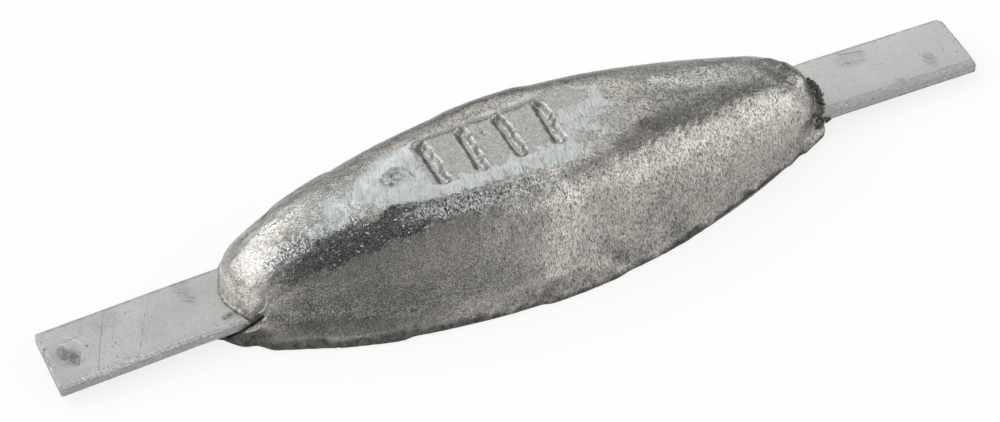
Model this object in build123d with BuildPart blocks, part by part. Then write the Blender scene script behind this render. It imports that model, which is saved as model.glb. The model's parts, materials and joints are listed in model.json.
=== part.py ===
"""Weld-on hull anode: a boat-shaped zinc casting poured round a flat steel strap.

The back of the casting is the flat face that lies against the hull (z = 0) and the crown points up.
The strap runs along X, straight through the casting, and its two bare ends are welded to the hull.
The origin is the centre of the whole anode's footprint, on the plane of the back. All sizes are in mm.
"""
from build123d import *
import os
from math import asin, cos, radians, sin, sqrt, tan

# ---------------------------------------------------------------- driving dimensions
# Strap: a length of galvanised flat bar, cropped at both ends.
strap_length = 411.0          # over the cropped ends, seen from above
strap_width = 30.0
strap_thickness = 5.0
strap_top = 11.0              # upper face of the bar above the back, inside the casting
strap_edge_radius = 0.6       # rolled edges of the bar
strap_corner_radius = 1.2     # cropped corners, seen from above
strap_corner_clip = 2.2       # the one corner that the shears left bevelled
bend_radius = 45.0            # both ends are set down a little just outside the casting
left_droop = 1.3              # degrees
right_droop = 2.3             # degrees
bend_stand_off = 3.0          # from the tongue's tip to the middle of the bend

# Casting: horizontal outlines with two long side arcs and two round noses.
casting_offset = 5.5          # the bar was laid this far off the casting's centre, along X
crown_height = 42.0
back_half_width = 50.6        # at the back
side_lean = 26.0              # draft of the long flanks, degrees from vertical
side_shoulder_start = 30.0    # height where the flank starts to round over
crown_half_width = 21.0       # flat of the crown
left_reach = 135.3            # from the casting's centre to the nose, at the back
left_lean = 24.5              # draft of the left nose, degrees
left_shoulder_start = 24.0
right_reach = 138.3
right_lean = 6.0
right_shoulder_start = 12.0
crown_half_length = 60.0
crown_fall = 5.0              # slope of the crown past its flat, towards each nose, degrees
nose_radius_back = 24.5
nose_radius_crown = 11.0
outline_levels = 9            # outlines stacked between back and crown
level_crowding = 1.7          # above 1, the outlines lie closer together towards the crown

# Tongues: the zinc that fills the mould's notches under the bar.
tongue_side_gap = 1.4         # how far a tongue is wider than the bar, each side
tongue_reach = 3.5            # past the nose of the back's outline
tongue_corner_radius = 9.0

# Crown panel: the shallow sunk field that carries a foundry's marks, left blank here.
panel_length = 68.0
panel_width = 28.0
panel_depth = 0.9
panel_corner_radius = 3.0
panel_shift_x = -8.0          # from the casting's centre
panel_shift_y = 3.5
panel_taper = 40.0            # degrees, the panel's sloping walls

# Back: the open-poured face, which sinks as the zinc shrinks and leaves a flat rim.
back_rim_width = 9.0
back_sink_depth = 1.5
back_sink_taper = 60.0        # degrees
back_edge_chamfer = 0.8

# ---------------------------------------------------------------- worked out from them
casting_x = -casting_offset
strap_bottom = strap_top - strap_thickness
tongue_half_width = strap_width / 2 + tongue_side_gap


def flank_and_shoulder(z, foot, lean, shoulder_start, crown_edge, fall):
    """Half-size at height z: a straight drafted flank, then a curve that meets the crown's edge.

    The curve is a parabola tangent to the flank at shoulder_start and to the crown's slope at
    crown_edge, so the two tangents' crossing is its middle control point.
    """
    slope = tan(radians(lean))
    if z <= shoulder_start:
        return foot - slope * z
    rise = tan(radians(fall))
    start = foot - slope * shoulder_start
    cross_z = (crown_height - rise * (foot - crown_edge)) / (1 - rise * slope)
    cross = foot - slope * cross_z
    a = shoulder_start - 2 * cross_z + crown_height
    b = 2 * (cross_z - shoulder_start)
    c = shoulder_start - z
    t = 2 * c / (-b - sqrt(max(0.0, b * b - 4 * a * c)))
    return start * (1 - t) ** 2 + 2 * cross * t * (1 - t) + crown_edge * t ** 2


def outline_sizes(z):
    """Left reach, right reach, half-width and nose radius of the casting's outline at height z."""
    left = flank_and_shoulder(z, left_reach, left_lean, left_shoulder_start, crown_half_length, crown_fall)
    right = flank_and_shoulder(z, right_reach, right_lean, right_shoulder_start, crown_half_length, crown_fall)
    half_width = flank_and_shoulder(z, back_half_width, side_lean, side_shoulder_start, crown_half_width, 0)
    nose = nose_radius_back + (nose_radius_crown - nose_radius_back) * z / crown_height
    return left, right, half_width, nose


def nose_arcs(reach, half_width, nose, sign):
    """Side, nose and side arc of one end, all tangent, from (0, half_width) round to (0, -half_width)."""
    centre = reach - nose
    side_radius = (centre ** 2 + half_width ** 2 - nose ** 2) / (2 * (half_width - nose))
    turn = asin(centre / (side_radius - nose))
    touch = (centre + nose * sin(turn), nose * cos(turn))
    middle = (side_radius * sin(turn / 2), half_width - side_radius * (1 - cos(turn / 2)))

    def at(x, y):
        return (casting_x + sign * x, y)

    ThreePointArc(at(0, half_width), at(*middle), at(*touch))
    ThreePointArc(at(*touch), at(reach, 0), at(touch[0], -touch[1]))
    ThreePointArc(at(touch[0], -touch[1]), at(middle[0], -middle[1]), at(0, -half_width))


def casting_outline(left, right, half_width, nose):
    """Closed outline of the casting, drawn into the current line."""
    nose_arcs(left, half_width, nose, -1)
    nose_arcs(right, half_width, nose, 1)


# ---------------------------------------------------------------- steel strap
# The bar's section is swept along its centre line, which has two set-down ends, and then cropped.
centre_z = strap_top - strap_thickness / 2
bend_left = casting_x - left_reach - tongue_reach - bend_stand_off
bend_right = casting_x + right_reach + tongue_reach + bend_stand_off
stock_half_length = strap_length / 2 + strap_width


def set_down(x, bend, droop):
    """Height of the centre line at x, beyond a bend."""
    return centre_z - abs(x - bend) * tan(radians(droop))


with BuildPart() as strap:
    with BuildLine(Plane.XZ) as centre_line:
        FilletPolyline(
            (-stock_half_length, set_down(-stock_half_length, bend_left, left_droop)),
            (bend_left, centre_z),
            (bend_right, centre_z),
            (stock_half_length, set_down(stock_half_length, bend_right, right_droop)),
            radius=bend_radius,
        )
    with BuildSketch(Plane(centre_line.line @ 0, x_dir=(0, 1, 0), z_dir=centre_line.line % 0)):
        RectangleRounded(strap_width, strap_thickness, strap_edge_radius)
    sweep()
    with BuildSketch(Plane.XY) as cropping:
        Rectangle(strap_length, strap_width)
        chamfer(cropping.vertices().group_by(Axis.X)[-1].sort_by(Axis.Y)[-1], strap_corner_clip)
        fillet([v for v in cropping.vertices() if v.X < 0 or v.Y < 0], strap_corner_radius)
    extrude(amount=strap_length, both=True, mode=Mode.INTERSECT)

strap.part.label = "steel_strap"

# ---------------------------------------------------------------- zinc casting
with BuildPart() as casting:
    for step in range(outline_levels):
        level = crown_height * (1 - (1 - step / (outline_levels - 1)) ** level_crowding)
        with BuildSketch(Plane.XY.offset(level)):
            with BuildLine():
                casting_outline(*outline_sizes(level))
            make_face()
    loft()
    back_edges = casting.faces().sort_by(Axis.Z)[0].edges()
    chamfer(back_edges, back_edge_chamfer)

    # Tongues under the bar, at both noses.
    for reach, sign in ((left_reach, -1), (right_reach, 1)):
        with BuildSketch(Plane.XY.offset(0)):
            with Locations((casting_x + sign * (reach + tongue_reach) / 2, 0)):
                RectangleRounded(reach + tongue_reach, 2 * tongue_half_width, tongue_corner_radius)
        extrude(amount=strap_bottom)

    # The bar's own slot, straight through.
    with BuildSketch(Plane.YZ.offset(casting_x)):
        with Locations((0, centre_z)):
            RectangleRounded(strap_width, strap_thickness, strap_edge_radius)
    extrude(amount=2 * max(left_reach, right_reach), both=True, mode=Mode.SUBTRACT)

    # Sunk panel on the crown.
    with BuildSketch(Plane.XY.offset(crown_height)):
        with Locations((casting_x + panel_shift_x, panel_shift_y)):
            RectangleRounded(panel_length, panel_width, panel_corner_radius)
    extrude(amount=-panel_depth, taper=panel_taper, mode=Mode.SUBTRACT)

    # Shrinkage hollow in the back.
    with BuildSketch(Plane.XY):
        with BuildLine():
            casting_outline(left_reach - back_rim_width, right_reach - back_rim_width,
                            back_half_width - back_rim_width, nose_radius_back - back_rim_width)
        make_face()
    extrude(amount=back_sink_depth, taper=back_sink_taper, mode=Mode.SUBTRACT)

casting.part.label = "anode_casting"

# ---------------------------------------------------------------- files
os.makedirs("parts", exist_ok=True)
export_step(strap.part, "parts/steel_strap.step")
export_step(casting.part, "parts/anode_casting.step")
for piece in (strap.part, casting.part):
    box = piece.bounding_box()
    print(piece.label, "volume", round(piece.volume), "from", box.min, "to", box.max, "valid", piece.is_valid)
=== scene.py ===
"""Looks of the weld-on hull anode: its cast zinc body, its galvanised strap, a pale studio and the camera.

Lengths are written in millimetres and turned into metres when a mesh is made. X runs along the strap,
Y across the casting and Z up, from the flat back to the crown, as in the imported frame.
"""
import bpy
import json
import numpy as np
from functools import partialmethod
from math import asin, cos, pi, radians, sin, tan
from types import SimpleNamespace
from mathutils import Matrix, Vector, noise

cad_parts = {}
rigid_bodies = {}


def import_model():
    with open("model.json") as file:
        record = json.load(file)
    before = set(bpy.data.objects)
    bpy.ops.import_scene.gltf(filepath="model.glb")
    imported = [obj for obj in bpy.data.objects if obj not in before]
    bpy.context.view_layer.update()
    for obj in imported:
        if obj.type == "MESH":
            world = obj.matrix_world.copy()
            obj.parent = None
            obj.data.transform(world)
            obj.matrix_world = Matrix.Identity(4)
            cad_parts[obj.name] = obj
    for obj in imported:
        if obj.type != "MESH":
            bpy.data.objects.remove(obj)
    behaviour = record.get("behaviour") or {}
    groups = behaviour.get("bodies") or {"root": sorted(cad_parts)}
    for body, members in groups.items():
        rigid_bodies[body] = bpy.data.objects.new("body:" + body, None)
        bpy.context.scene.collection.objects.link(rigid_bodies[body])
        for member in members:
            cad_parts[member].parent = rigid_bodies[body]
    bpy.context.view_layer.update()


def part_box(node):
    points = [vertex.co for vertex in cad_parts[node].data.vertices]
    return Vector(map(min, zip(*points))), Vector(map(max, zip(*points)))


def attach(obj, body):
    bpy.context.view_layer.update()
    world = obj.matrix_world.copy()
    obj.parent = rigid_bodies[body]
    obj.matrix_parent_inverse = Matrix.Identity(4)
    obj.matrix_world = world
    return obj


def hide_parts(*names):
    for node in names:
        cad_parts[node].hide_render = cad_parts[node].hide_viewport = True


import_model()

MM = 0.001

# ---- sizes taken from the frame
casting_low, casting_high = (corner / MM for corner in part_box("anode_casting"))
strap_low, strap_high = (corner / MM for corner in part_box("steel_strap"))
CROWN_HEIGHT = casting_high.z
STRAP_LENGTH = strap_high.x - strap_low.x
STRAP_WIDTH = strap_high.y - strap_low.y
STRAP_TOP = strap_high.z

# ---- casting form
CASTING_X = -5.5              # the casting's centre, the strap lies off it
TONGUE_REACH = 3.5
LEFT_REACH = CASTING_X - casting_low.x - TONGUE_REACH
RIGHT_REACH = casting_high.x - CASTING_X - TONGUE_REACH
BACK_HALF_WIDTH = 50.6
BACK_EDGE = 0.8
SIDE_LEAN, SIDE_SHOULDER = 26.0, 30.0
LEFT_LEAN, LEFT_SHOULDER = 24.5, 24.0
RIGHT_LEAN, RIGHT_SHOULDER = 6.0, 12.0
CROWN_HALF_WIDTH = 21.0
CROWN_HALF_LENGTH = 60.0
CROWN_FALL = 5.0
NOSE_RADIUS_BACK, NOSE_RADIUS_CROWN = 24.5, 11.0
TONGUE_HALF_WIDTH = STRAP_WIDTH / 2 + 1.4
TONGUE_TOP = 6.0
BACK_RIM, BACK_SINK = 9.0, 1.5
# straight sides of the near ear on the right: distance from the nose's centre, and where each one faces
EAR_SIDES = [(25.2, 0.429, 0.903), (26.65, 0.916, 0.403)]

# ---- strap form
STRAP_THICKNESS = 5.0
ROLLED_OUT = 0.8              # the rolled edges stand out beyond the nominal width
STRAP_EDGE = 0.6
STRAP_CORNER, STRAP_CLIP = 1.2, 2.2
STRAP_STATIONS, STRAP_EDGE_POINTS = 320, 3
LEFT_BEND_X, RIGHT_BEND_X = 147.3, 139.3
LEFT_DROOP, RIGHT_DROOP = 1.3, 2.3

# ---- sunk field on the crown and its tally
FIELD_CENTRE = (-13.5, 3.5)
FIELD_HALF = (34.0, 14.0)
FIELD_CORNER = 3.0
FIELD_DEPTH_FAR, FIELD_DEPTH_NEAR = 0.6, 0.2
TALLY_X = (-39.0, -22.0, -5.0, 12.0)
TALLY_LEAN = (-0.3, 0.3, -0.3, 0.3)
TALLY_Y = (-6.0, 14.0)
TALLY_HALF_WIDTH, TALLY_DEPTH = 2.9, 2.6

# outline of the crown that was ground bright, seen from above
GROUND_OUTLINE = [
    (-78, 1), (-73.7, -3.9), (-67, -8.3), (-60, -11.7), (-48, -14.5), (-32, -15.8), (-16, -16.8),
    (3, -19.4), (18, -21.5), (30, -20), (43, -13), (48.6, -9.7), (49.3, -3.9), (46, 5), (43, 13), (40, 21),
    (28, 24), (13, 22.5), (-8.4, 19.8), (-27, 18.2), (-44, 18.3), (-56, 16.5), (-66, 13), (-73.5, 5.5),
]

# squeezes a pattern across the feathered end of the grinding, along lines that fall to the right
SWIRL = np.array([(0.25, -0.45, 0), (0.45, 0.85, 0), (0, 0, 1.0)])

# where the grinding only touched the high spots
PATCH_OUTLINE = [(-58, 19), (-76, 14.5), (-92, 7), (-103, 0), (-102, -8), (-92, -11), (-78, -10.5),
                 (-64, -12.5), (-58, 0)]

# where the grinding is fainter, and where the bare metal of the field runs on past its end
LESS_GROUND = [(22, -11, 42, 9), (34, -6, 42, 10), (42, -6, 42, 8)]
BEYOND_FIELD = [(12, 14, 42, 8), (22, 14, 42, 10), (30, 11, 42, 5)]

# the crater beside the field and the crescent round it
CRATER_CENTRE, CRATER_HALF = (-57, 2.8), (4.6, 4.2)
CRESCENT = [(-59.5, 5.4), (-58.7, 6), (-55.1, 7.3), (-52, 6.4), (-49.6, 4), (-48.8, 0.1)]

# cold shuts, ridges and lips: path, half-width and height of each, in millimetres
SEAM = [(-99, 7.4, 37.1), (-104.4, 6.1, 36.2), (-108.5, 4.9, 35.3), (-112.9, 3.1, 34.2)]
NOSE_SEAM = [(-104, -9, 35.5), (-108.4, -9.1, 34.5), (-111.4, -11, 33), (-114.2, -12.5, 31),
             (-117.7, -13.4, 28.7), (-117.7, -15.7, 25.2), (-119.5, -16.6, 21.3), (-119.7, -17.9, 17.7),
             (-121.9, -18.4, 14.3)]
LIP = [(-121.9, -18.4, 14.3), (-124, -18.4, 11.4), (-125.8, -18.2, 9.3), (-129.5, -17, 7), (-134, -15.8, 5.2)]
RIDGES = [
    (SEAM, 1.2, 0.35),
    (NOSE_SEAM, 1.2, 0.3),
    (LIP, 1.5, 0.8),
    ([(-88.1, -7.8, 39), (-93.9, -10.2, 37.6), (-98.4, -12.1, 36), (-102.1, -13.5, 34.3)], 1.3, 0.55),
    ([(-94, -2, 38.4), (-98.4, -4, 37.6), (-101.4, -6.6, 36.8), (-105.9, -8.7, 35.4)], 1.2, 0.5),
    ([(-102.1, -13.5, 34.3), (-104.1, -11.5, 34.9), (-107.6, -12.5, 33.5), (-111.1, -13.6, 31.4),
      (-111.6, -15.7, 28.9), (-113.7, -16.3, 27.1)], 1.3, 0.65),
    ([(-86.8, -13.9, 36.7), (-94.3, -16.1, 33.9), (-100.5, -17, 31), (-106.1, -18.2, 27.1)], 1.2, 0.45),
    ([(-113, -18.4, 23.2), (-115.4, -18.1, 21.6), (-116.7, -18.3, 20)], 1.3, 0.5),
    ([(39.3, -22.4, 39.5), (49.8, -20.7, 38.8), (62.7, -17.8, 38), (73.5, -17.6, 36), (83.5, -14.2, 35.6),
      (94.6, -12.2, 34.1), (110.1, -7, 30.9), (119.5, -4.3, 26.9)], 3.6, 0.35),
]

# soft tints of the skin: lines of (x, y, z, half-width) and how strong each is. The band is a painted dark
# reflection along the near shoulder, the dark blooms are painted shade with some tarnish, and the pale blooms
# are painted light.
BAND_BLOOM = [
    ([(-112, -15, 28.5, 7), (-104, -14.8, 32, 10.5), (-90, -16, 35.5, 10.5), (-76, -17, 38, 10.5),
      (-62, -17.2, 39.8, 10), (-48, -19.5, 40.5, 8.5), (-34, -20.5, 40.8, 7), (-20, -21.5, 41, 5),
      (-8, -23, 41, 3)], 1.25),
]
# painted shade along the far shoulder, on the left nose's crescent, the right dome and the lower flanks,
# mixed with tarnish
DARK_BLOOMS = [
    ([(-104, 17, 31, 5), (-76, 23, 34, 6), (-56, 26, 36, 7), (-36, 28, 38, 7), (-14, 30, 38.5, 8),
      (4, 29.5, 39, 8), (23, 27.5, 38.5, 8), (43, 24, 37.5, 8), (65, 20, 36, 8), (85, 15, 34.5, 7),
      (100, 11, 31.5, 5)], 1.4),
    ([(45, -13.5, 41.2, 4), (53, -15, 40, 6), (63, -16, 38.5, 7), (77, -13.5, 37, 7), (90, -10.5, 35.3, 5),
      (100, -9, 33, 4)], 0.65),
    ([(-118, -22, 13, 6), (-110, -23.5, 13, 11), (-102, -26, 14, 11), (-94, -28.5, 15, 6)], 1.0),
    ([(-88, -30, 18, 14), (-66, -36, 15, 14), (-42, -38, 17, 15), (-24, -42, 15, 9)], 0.62),
    ([(-119.5, -18, 20.5, 3.5), (-123.5, -17, 17.5, 5), (-126.5, -16, 13.5, 5.5)], 1.1),
    ([(-113, -20, 20, 6), (-106, -22.5, 21, 10), (-98, -24, 22, 9)], 0.6),
    ([(-108, -12, 32, 4), (-100, -10.5, 35, 5), (-92, -10, 37.5, 4)], 0.6),
    ([(-127, -6, 25.5, 5.5), (-125.5, 2.5, 27.5, 6.5), (-120, 9.5, 29.5, 6.5), (-113, 12, 32.5, 5)], 1.4),
    ([(113, 8, 30.5, 5), (119, 3.6, 28.5, 5.5), (123, -0.5, 26, 5), (127, -6, 20, 6)], 1.4),
    ([(14, -43, 14, 6), (20, -45, 8, 7)], 0.6),
    ([(46, 3, 42, 4), (57, -1, 41.3, 7), (68, -3, 39.8, 6)], 0.4),
    ([(36, -34, 26, 10), (70, -29, 20, 12), (95, -23, 18, 10)], 0.35),
    ([(-30, -47, 5, 5), (-5, -49, 5, 3.5), (20, -48, 5, 5), (48, -44.5, 5, 8)], 0.55),
]
# painted light: paler skin where the lamps' reflections fall on the flank, the nose and the ground
PALE_BLOOMS = [
    ([(60, 8, 41.2, 4), (72, 4, 40.2, 5.5), (86, 2, 37.8, 8), (100, 1, 34.6, 8.5), (109, -5, 31, 5)], 1.2),
    ([(104, -14, 28.5, 7), (112, -15, 25, 8)], 0.3),
    ([(-122, 6, 30, 5), (-112, 8, 33.5, 6), (-100, 9, 37, 6), (-88, 11, 38.6, 4.5),
      (-78, 14, 39.5, 3.5)], 0.9),
    ([(-76, -26, 29, 5), (-66, -27, 31, 7), (-54, -29.5, 30, 10), (-46, -33, 26, 9),
      (-34, -38, 20, 6)], 0.15),
    ([(-42, -31, 31, 8), (-30, -32, 31, 9), (-19, -34, 30, 10), (-10, -36, 28, 9)], 0.15),
    ([(14, -28, 38, 7), (24, -28, 37, 9), (40, -28, 35.5, 8), (60, -26, 33.5, 6), (80, -22, 31.5, 6),
      (102, -16, 28.5, 8), (112, -15, 25, 7)], 0.2),
    ([(2, -28.5, 38, 9), (3, -32.5, 34, 12), (-1, -37, 28, 11), (-4, -42, 18, 9), (-9, -45, 11, 5)], 1.3),
    ([(-4, -25.5, 40.8, 5), (6, -24.5, 41.2, 5), (28, -22, 41.3, 4)], 1.1),
    ([(-22, -27, 38.3, 4), (-12, -27.5, 38.5, 7), (1, -28.5, 38, 9)], 0.9),
    ([(-68, 5, 42, 5), (-56, 12, 42, 10), (-46, 16, 41.8, 7)], 1.2),
    ([(-117, 8, 31.5, 4), (-112, 5, 33.3, 6), (-105, 4, 35.5, 6), (-96, 6, 37.8, 6)], 1.2),
    ([(-119.5, -13, 26, 4), (-124.5, -11.5, 23.5, 5.5), (-129.5, -10.5, 16.5, 5), (-130.5, -6, 18, 7.5),
      (-131, 3, 18, 7)], 1.9),
]

# noises of the skin, from broad to fine and last a ragged one: largest feature, octaves and seed
SKIN_NOISES = [(70, 2, 1), (24, 2, 2), (6, 3, 3), (2.6, 2, 4), (5, 4, 5)]

# where the mould wall stood out or in: lines of (x, y, z, half-width) and how far, in millimetres
SWELLS = [
    ([(-99, 17.5, 34, 9), (-90, 20, 35, 12), (-82, 22, 36, 9)], 1.1),
    ([(-16, 32, 37, 13), (4, 32, 37, 13)], 0.8),
    ([(117, 5.5, 29, 6.5), (122, 1, 26.5, 8), (125, -4, 24, 7)], 1.3),
    ([(121, 1.5, 27, 5.5), (124, -3, 25, 5.5)], 1.1),
    ([(-126, 6, 24, 6), (-121, 10, 28, 8), (-114, 12.5, 30.5, 7), (-108, 13, 33, 5)], -1.2),
    ([(-118, -26, 1, 8), (-110, -30, 1, 12), (-95, -36, 1, 13), (-78, -42, 1, 10)], 1.2),
    ([(-10, -50, 1, 8), (4, -50.5, 1, 11), (14, -50, 1, 9)], 1.0),
    ([(74, -39, 1, 7), (86, -36, 1, 10), (96, -32.5, 1, 10), (103, -29, 1.5, 7)], -0.9),
]

# where the skin has the dome's cooler grey
COOL_BLOOM = [
    ([(-124, 4, 28.5, 6), (-114, 9, 32.5, 8), (-100, 11, 36.5, 9), (-84, 13, 39, 9), (-68, 14, 41, 7)], 0.75),
]

# the wrinkled skin on the left nose and along the near edge of the ground crown
WRINKLED_NOSE = [(-115, -9.5, 31.5, 4.5), (-107, -8.5, 34.8, 6.5), (-98, -8, 37.2, 6), (-88, -8.5, 39, 4.5),
                 (-78, -9, 40.5, 3)]
WRINKLED = [(-62, -16.5, 40.5, 2.5), (-49, -19, 41, 6), (-34, -20.5, 41, 7), (-20, -23.5, 40.5, 8),
            (-6, -25, 40.5, 7), (3, -26, 40.3, 4)]

# at the left junction: a painted shadow in the gap under the strap, and painted highlights along the lip and
# the nose's seam
GAP_LINE = [(-122.2, -18.3, 13.8), (-124.5, -17.8, 11.8), (-127.6, -16.5, 8.3), (-129.4, -15.5, 6.4),
            (-131.3, -14.8, 5.3), (-133.7, -13.9, 4.1), (-135.9, -12.9, 2.3)]
BRIGHT_LINES = [
    [(-121.4, -18.8, 13.4), (-122.9, -18.9, 11.8), (-124.2, -19.3, 10.4), (-125.3, -19.2, 9.1),
     (-126.6, -18.9, 8.3), (-128.2, -18.2, 7.6), (-129.8, -17.3, 7)],
    [(-119.1, -15.6, 22.7), (-119.8, -16.8, 19.8), (-121.1, -17.4, 17.1), (-122.4, -17.2, 15.8),
     (-123.5, -16.8, 14.8)],
]

# ---- camera
CAMERA_AZIMUTH, CAMERA_ELEVATION = -25.74, 47.08
CAMERA_DISTANCE = 1212.3
CAMERA_TARGET = (0.0, 0.0, 20.0)
IMAGE_WIDTH, IMAGE_HEIGHT = 1000.0, 422.0
FOCAL_PIXELS = 2997.6
OPTICAL_CENTRE = (525.56, 174.74)
SENSOR = 36.0


# ======== small helpers
def add_object(name, data):
    """Puts a new object for this mesh, curve or camera in the scene."""
    piece = bpy.data.objects.new(name, data)
    bpy.context.scene.collection.objects.link(piece)
    return piece


def new_mesh_object(name, points, faces):
    """A smooth mesh object from points in millimetres."""
    mesh = bpy.data.meshes.new(name)
    mesh.from_pydata((np.asarray(points) * MM).tolist(), [], faces)
    mesh.update()
    mesh.polygons.foreach_set("use_smooth", [True] * len(mesh.polygons))
    return add_object(name, mesh)


def add_attribute(piece, name, values):
    """A number for each vertex, for the materials to read."""
    layer = piece.data.attributes.new(name, "FLOAT", "POINT")
    layer.data.foreach_set("value", np.asarray(values, dtype=np.float32).ravel())


def towards(azimuth, elevation):
    """The direction of a place seen at this azimuth and elevation in degrees."""
    azimuth, elevation = radians(azimuth), radians(elevation)
    return Vector((sin(azimuth) * cos(elevation), -cos(azimuth) * cos(elevation), sin(elevation)))


def ease(low, high, value):
    """0 below low, 1 above high and an even S between them; low may be the larger."""
    t = np.clip((value - low) / (high - low), 0.0, 1.0)
    return t * t * (3 - 2 * t)


def hump(value, centre, half_width):
    """A bell: 1 at the centre and about a third a half-width away from it."""
    return np.exp(-((value - centre) / half_width) ** 2)


def noise_field(points, size, octaves=3, seed=0.0):
    """Fractal noise about -1 to 1 at points in millimetres; size is the largest feature's."""
    shift = Vector((seed * 7.31, seed * 3.17, seed * 5.73))
    return np.array([noise.fractal(Vector(p) + shift, 1.0, 2.0, octaves) for p in (points / size).tolist()])


def measured(points, path):
    """For each line of a path: how far along it every point lies, from 0 to 1, and how far away."""
    for start, end in zip(path, path[1:]):
        a, b = np.array(start, float), np.array(end, float)
        along = np.clip(((points - a) @ (b - a)) / ((b - a) @ (b - a)), 0, 1)
        yield along, np.linalg.norm(points - (a + along[:, None] * (b - a)), axis=1)


def path_distance(points, path):
    """Shortest distance from each point to a polyline, in the plane or in space."""
    return np.minimum.reduce([away for _, away in measured(points, path)])


def ridge(points, path, half_width):
    """A soft ridge profile: 1 on the path, 0 a half-width away from it."""
    return np.clip(1 - (path_distance(points, path) / half_width) ** 2, 0, 1) ** 2


def bloom(points, path):
    """A soft tint along a line of (x, y, z, half-width): 1 near the line, 0 a half-width away."""
    *places, widths = zip(*path)
    lines = measured(points, list(zip(*places)))
    return np.maximum.reduce([ease(1.0, 0.3, away / (start + along * (end - start)))
                              for start, end, (along, away) in zip(widths, widths[1:], lines)])


def blooms(points, table):
    """The sum of all the blooms of a table of (path, strength)."""
    return sum(strength * bloom(points, path) for path, strength in table)


def shifted(path, *step):
    return [tuple(value + change for value, change in zip(place, step)) for place in path]


def inside_distance(plan, outline_points):
    """Distance to a closed outline in the plan, above 0 inside it."""
    closed = outline_points + outline_points[:1]
    inside = np.zeros(len(plan), bool)
    for (x0, y0), (x1, y1) in zip(closed, closed[1:]):
        if y0 != y1:
            crosses = (plan[:, 1] > min(y0, y1)) & (plan[:, 1] <= max(y0, y1))
            inside ^= crosses & (plan[:, 0] < x0 + (plan[:, 1] - y0) * (x1 - x0) / (y1 - y0))
    return np.where(inside, 1, -1) * path_distance(plan, closed)


def mesh_normals(points, faces):
    """Outward normal at each point of a mesh, weighted by the area of its faces."""
    normals = np.zeros_like(points)
    for count in (3, 4):
        corners = np.array([face for face in faces if len(face) == count])
        if len(corners):
            area = np.cross(points[corners[:, 2]] - points[corners[:, 0]],
                            points[corners[:, count - 1]] - points[corners[:, 1]])
            for column in range(count):
                np.add.at(normals, corners[:, column], area)
    return normals / np.maximum(1e-9, np.linalg.norm(normals, axis=1, keepdims=True))


# ======== casting: its plain form
def flank_and_shoulder(z, foot, lean, shoulder, crown_edge, fall):
    """Half-size at height z: a drafted flank, then the parabola tangent to it and to the crown's slope."""
    slope, rise = tan(radians(lean)), tan(radians(fall))
    start = foot - slope * shoulder
    cross_z = (CROWN_HEIGHT - rise * (foot - crown_edge)) / (1 - rise * slope)
    cross = foot - slope * cross_z
    a = shoulder - 2 * cross_z + CROWN_HEIGHT
    b = 2 * (cross_z - shoulder)
    c = shoulder - np.maximum(z, shoulder)
    t = 2 * c / (-b - np.sqrt(np.maximum(0.0, b * b - 4 * a * c)))
    curve = start * (1 - t) ** 2 + 2 * cross * t * (1 - t) + crown_edge * t ** 2
    return np.where(z <= shoulder, foot - slope * z, curve)


def outline_sizes(z):
    """Left reach, right reach, half-width and nose radius of the outline at height z."""
    return (
        flank_and_shoulder(z, LEFT_REACH, LEFT_LEAN, LEFT_SHOULDER, CROWN_HALF_LENGTH, CROWN_FALL),
        flank_and_shoulder(z, RIGHT_REACH, RIGHT_LEAN, RIGHT_SHOULDER, CROWN_HALF_LENGTH, CROWN_FALL),
        flank_and_shoulder(z, BACK_HALF_WIDTH, SIDE_LEAN, SIDE_SHOULDER, CROWN_HALF_WIDTH, 0.0),
        NOSE_RADIUS_BACK + (NOSE_RADIUS_CROWN - NOSE_RADIUS_BACK) * z / CROWN_HEIGHT,
    )


SIDE_STEPS, NOSE_STEPS = 112, 54
QUARTER_STEPS = SIDE_STEPS + NOSE_STEPS
CROWN_STEPS = 66


def quarter(reach, half_width, nose):
    """Points from (0, half_width) along the side arc and the nose arc to (reach, 0)."""
    centre = reach - nose
    radius = (centre ** 2 + half_width ** 2 - nose ** 2) / (2 * (half_width - nose))
    turn = asin(centre / (radius - nose))
    side = np.linspace(0, turn, SIDE_STEPS, endpoint=False)
    tip = np.linspace(turn, pi / 2, NOSE_STEPS + 1)
    side_arc = np.stack([radius * np.sin(side), half_width - radius * (1 - np.cos(side))], 1)
    nose_arc = np.stack([centre + nose * np.sin(tip), nose * np.cos(tip)], 1)
    return np.vstack([side_arc, nose_arc])


def outline(left, right, half_width, nose):
    """Closed ring of points, anticlockwise seen from above, starting at the middle of the far side."""
    far_left = quarter(left, half_width, nose) * (-1, 1)
    near_left = far_left[::-1][1:] * (1, -1)
    near_right = quarter(right, half_width, nose) * (1, -1)
    far_right = near_right[::-1][1:-1] * (1, -1)
    return np.vstack([far_left, near_left, near_right[1:], far_right])


def wall_heights():
    """Heights of the wall's rows: close together beside the strap, wider apart up to the crown."""
    heights = np.linspace(0, CROWN_HEIGHT, 600)
    reach, _, widths, _ = outline_sizes(heights)
    steps = np.sqrt(np.diff(heights) ** 2 + np.diff(widths) ** 2 + (0.75 * np.diff(reach)) ** 2)
    travelled = np.concatenate([[0], np.cumsum(steps)])
    strap_zone = np.interp([2.5, 17.0], heights, travelled)
    marks = [BACK_EDGE, *strap_zone, travelled[-1]]
    stretches = zip(marks, marks[1:], (3, 27, 62))
    rows = [np.linspace(low, high, count, endpoint=False) for low, high, count in stretches]
    return np.interp(np.concatenate(rows + [[travelled[-1]]]), travelled, heights)


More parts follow.
